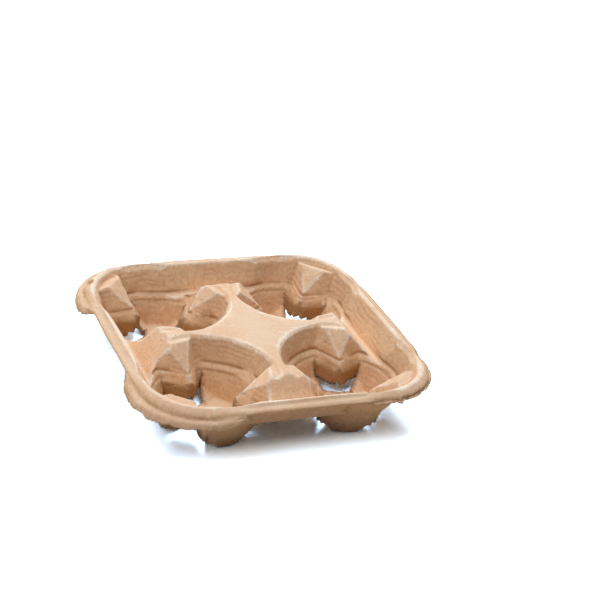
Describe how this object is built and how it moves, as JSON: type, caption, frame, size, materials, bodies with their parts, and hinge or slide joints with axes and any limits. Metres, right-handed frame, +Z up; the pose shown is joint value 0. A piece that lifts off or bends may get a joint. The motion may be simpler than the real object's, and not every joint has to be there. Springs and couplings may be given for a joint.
{
  "type": "cup carrier",
  "caption": "Square moulded pulp carrier with round wells that hold takeaway cups between wedge fingers, under a raised star deck.",
  "frame": {"origin": "middle of the carrier's underside, on the plane its feet stand on", "axes": "+Z up out of the wells; +X and +Y along the two sides, towards the middle of the right and back edges"},
  "size_m": [0.2198, 0.2198, 0.0447],
  "materials": {
    "moulded_pulp": "rough matte recycled paper pulp, kraft tan"
  },
  "bodies": {
    "root": {"cup_carrier": "moulded_pulp"}
  },
  "joints": []
}
